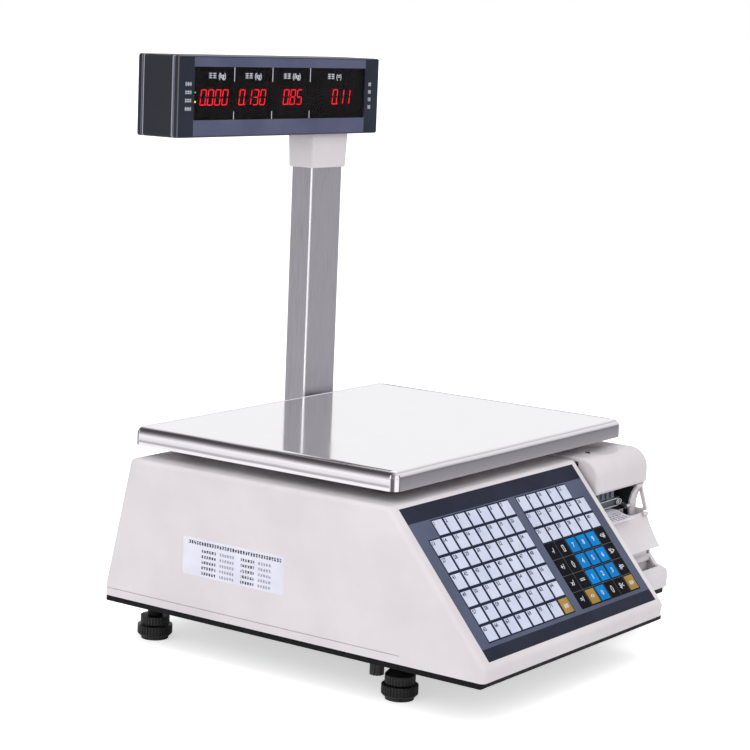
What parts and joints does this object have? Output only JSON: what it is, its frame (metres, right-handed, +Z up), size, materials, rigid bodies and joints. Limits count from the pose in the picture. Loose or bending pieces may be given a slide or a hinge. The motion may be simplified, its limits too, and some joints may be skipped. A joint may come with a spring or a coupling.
{
  "type": "label printing scale",
  "caption": "Counter weighing scale with a steel platter, sloped membrane keyboard, two-sided display on a post and a side label printer.",
  "frame": {"origin": "centre of the bounding box in plan, on the surface the scale stands on", "axes": "+Z up, -Y towards the operator's keyboard, +X towards the label printer"},
  "size_m": [0.398, 0.441, 0.5279],
  "materials": {
    "shell_cream": "satin moulded plastic",
    "base_black": "black powder coat",
    "screw_steel": "zinc plated",
    "knob_black": "moulded",
    "foot_black": "moulded, knurled",
    "overlay_slate": "printed polyester, fine texture",
    "key_white": "printed polyester",
    "key_blue": "printed polyester",
    "key_black": "printed polyester",
    "key_gold": "printed polyester",
    "board_green": "solder mask",
    "supply_steel": "folded sheet",
    "cell_aluminium": "milled",
    "cast_aluminium": "as cast",
    "pad_rubber": "moulded",
    "platter_steel": "polished",
    "post_steel": "satin",
    "display_dark": "moulded",
    "panel_slate": "printed panel",
    "window_smoke": "smoked acrylic",
    "figure_red": "lit",
    "port_steel": "plated sheet",
    "inlet_black": "moulded",
    "port_plated": "plated",
    "rocker_red": "moulded",
    "label_white": "printed label",
    "vial_clear": "clear acrylic",
    "latch_black": "moulded",
    "rail_steel": "zinc plated",
    "mech_black": "black oxide",
    "mech_bright": "bright",
    "gear_white": "acetal",
    "gear_brass": "machined",
    "motor_steel": "plated",
    "head_aluminium": "anodised",
    "paper_white": "label stock",
    "spool_grey": "moulded"
  },
  "bodies": {
    "base": {"upper_housing": "shell_cream", "base_tray": "base_black", "service_cover": "base_black", "base_screws": "screw_steel", "transport_screw": "knob_black", "keyboard_overlay": "overlay_slate", "keys_white": "key_white", "keys_blue": "key_blue", "keys_black": "key_black", "keys_gold": "key_gold", "circuit_boards": "board_green", "power_supply": "supply_steel", "load_cell": "cell_aluminium", "cell_pedestal": "cast_aluminium", "post": "post_steel", "post_socket": "shell_cream", "post_collar": "shell_cream", "display_shell": "display_dark", "display_panels": "panel_slate", "display_windows": "window_smoke", "display_figures": "figure_red", "port_panel": "port_steel", "inlet_module": "inlet_black", "data_ports": "port_plated", "rating_label": "label_white", "level_vial": "vial_clear", "tray_rails": "rail_steel"},
    "load_receptor": {"spider": "cast_aluminium", "spider_pads": "pad_rubber"},
    "platter": {"platter": "platter_steel"},
    "printer": {"printer_housing": "shell_cream", "printer_cover": "shell_cream", "drawer_channels": "rail_steel", "mechanism_frame": "mech_black", "peel_bar": "mech_bright", "drive_motor": "motor_steel", "label_strip": "paper_white"},
    "chute_door": {"chute_door": "shell_cream"},
    "latch": {"latch_button": "latch_black"},
    "print_head": {"print_head": "head_aluminium"},
    "head_lever": {"head_lever": "mech_bright"},
    "platen": {"platen_sleeve": "pad_rubber", "platen_shaft": "mech_bright"},
    "idler": {"idler_gear": "gear_white"},
    "pinion": {"motor_pinion": "gear_brass"},
    "label_roll": {"label_roll": "paper_white"},
    "take_up": {"take_up_spool": "spool_grey"},
    "rocker": {"power_rocker": "rocker_red"},
    "sole_front_left": {"foot_sole_front_left": "pad_rubber"},
    "wheel_front_left": {"foot_wheel_front_left": "foot_black"},
    "ring_front_left": {"lock_ring_front_left": "foot_black"},
    "sole_front_right": {"foot_sole_front_right": "pad_rubber"},
    "wheel_front_right": {"foot_wheel_front_right": "foot_black"},
    "ring_front_right": {"lock_ring_front_right": "foot_black"},
    "sole_rear_left": {"foot_sole_rear_left": "pad_rubber"},
    "wheel_rear_left": {"foot_wheel_rear_left": "foot_black"},
    "ring_rear_left": {"lock_ring_rear_left": "foot_black"},
    "sole_rear_right": {"foot_sole_rear_right": "pad_rubber"},
    "wheel_rear_right": {"foot_wheel_rear_right": "foot_black"},
    "ring_rear_right": {"lock_ring_rear_right": "foot_black"}
  },
  "joints": [
    {"name": "foot_lift_front_left", "type": "slide", "parent": "base", "child": "sole_front_left", "axis": [0, 0, 1], "range_m": [-0.006, 0.0008]},
    {"name": "foot_spin_front_left", "type": "hinge", "parent": "sole_front_left", "child": "wheel_front_left", "pos_m": [-0.172, -0.11879, 0.008], "axis": [0, 0, 1], "range_deg": [-1728, 230.4]},
    {"name": "ring_turn_front_left", "type": "hinge", "parent": "base", "child": "ring_front_left", "pos_m": [-0.172, -0.11879, 0.0175], "axis": [0, 0, 1], "range_deg": [-230, 0]},
    {"name": "foot_lift_front_right", "type": "slide", "parent": "base", "child": "sole_front_right", "axis": [0, 0, 1], "range_m": [-0.006, 0.0008]},
    {"name": "foot_spin_front_right", "type": "hinge", "parent": "sole_front_right", "child": "wheel_front_right", "pos_m": [0.172, -0.06679, 0.008], "axis": [0, 0, 1], "range_deg": [-1728, 230.4]},
    {"name": "ring_turn_front_right", "type": "hinge", "parent": "base", "child": "ring_front_right", "pos_m": [0.172, -0.06679, 0.0175], "axis": [0, 0, 1], "range_deg": [-230, 0]},
    {"name": "foot_lift_rear_left", "type": "slide", "parent": "base", "child": "sole_rear_left", "axis": [0, 0, 1], "range_m": [-0.006, 0.0008]},
    {"name": "foot_spin_rear_left", "type": "hinge", "parent": "sole_rear_left", "child": "wheel_rear_left", "pos_m": [-0.172, 0.1553, 0.008], "axis": [0, 0, 1], "range_deg": [-1728, 230.4]},
    {"name": "ring_turn_rear_left", "type": "hinge", "parent": "base", "child": "ring_rear_left", "pos_m": [-0.172, 0.1553, 0.0175], "axis": [0, 0, 1], "range_deg": [-230, 0]},
    {"name": "foot_lift_rear_right", "type": "slide", "parent": "base", "child": "sole_rear_right", "axis": [0, 0, 1], "range_m": [-0.006, 0.0008]},
    {"name": "foot_spin_rear_right", "type": "hinge", "parent": "sole_rear_right", "child": "wheel_rear_right", "pos_m": [0.172, 0.1553, 0.008], "axis": [0, 0, 1], "range_deg": [-1728, 230.4]},
    {"name": "ring_turn_rear_right", "type": "hinge", "parent": "base", "child": "ring_rear_right", "pos_m": [0.172, 0.1553, 0.0175], "axis": [0, 0, 1], "range_deg": [-230, 0]},
    {"name": "weighing_travel", "type": "slide", "parent": "base", "child": "load_receptor", "axis": [0, 0, 1], "range_m": [-0.0005, 0], "stiffness_N_per_m": 100000, "springref_m": 0.0003, "deforming": ["load_cell"]},
    {"name": "platter_lift_off", "type": "slide", "parent": "load_receptor", "child": "platter", "axis": [0, 0, 1], "range_m": [0, 0.12]},
    {"name": "printer_slide", "type": "slide", "parent": "base", "child": "printer", "axis": [0, -1, 0], "range_m": [0, 0.14]},
    {"name": "chute_door_tilt", "type": "hinge", "parent": "printer", "child": "chute_door", "pos_m": [0.15, -0.1465, 0.0725], "axis": [1, 0, 0], "range_deg": [0, 48]},
    {"name": "latch_press", "type": "slide", "parent": "printer", "child": "latch", "axis": [0, 0, -1], "range_m": [0, 0.0015], "stiffness_N_per_m": 400, "springref_m": -0.0005},
    {"name": "head_lever_turn", "type": "hinge", "parent": "printer", "child": "head_lever", "pos_m": [0.15, -0.098, 0.127], "axis": [-1, 0, 0], "range_deg": [0, 22]},
    {"name": "print_head_lift", "type": "hinge", "parent": "printer", "child": "print_head", "pos_m": [0.15, -0.098, 0.127], "axis": [-1, 0, 0], "range_deg": [0, 11]},
    {"name": "platen_spin", "type": "hinge", "parent": "printer", "child": "platen", "pos_m": [0.15, -0.12, 0.1045], "axis": [1, 0, 0], "continuous": true},
    {"name": "idler_spin", "type": "hinge", "parent": "printer", "child": "idler", "pos_m": [0.192, -0.09689, 0.09847], "axis": [1, 0, 0], "continuous": true},
    {"name": "pinion_spin", "type": "hinge", "parent": "printer", "child": "pinion", "pos_m": [0.19, -0.079, 0.1022], "axis": [1, 0, 0], "continuous": true},
    {"name": "label_roll_spin", "type": "hinge", "parent": "printer", "child": "label_roll", "pos_m": [0.15, -0.002, 0.1], "axis": [1, 0, 0], "continuous": true},
    {"name": "take_up_spin", "type": "hinge", "parent": "printer", "child": "take_up", "pos_m": [0.15, -0.098, 0.068], "axis": [1, 0, 0], "continuous": true},
    {"name": "power_switch", "type": "hinge", "parent": "base", "child": "rocker", "pos_m": [-0.112, 0.175, 0.081], "axis": [1, 0, 0], "range_deg": [0, 16]}
  ],
  "couplings": [
    {"joint": "foot_lift_front_left", "follows": "foot_spin_front_left", "m_per_rad": 0.00019894},
    {"joint": "foot_lift_front_right", "follows": "foot_spin_front_right", "m_per_rad": 0.00019894},
    {"joint": "foot_lift_rear_left", "follows": "foot_spin_rear_left", "m_per_rad": 0.00019894},
    {"joint": "foot_lift_rear_right", "follows": "foot_spin_rear_right", "m_per_rad": 0.00019894},
    {"joint": "idler_spin", "follows": "platen_spin", "ratio": -0.7},
    {"joint": "pinion_spin", "follows": "platen_spin", "ratio": 2.3333},
    {"joint": "head_lever_turn", "follows": "print_head_lift", "ratio": 2}
  ]
}
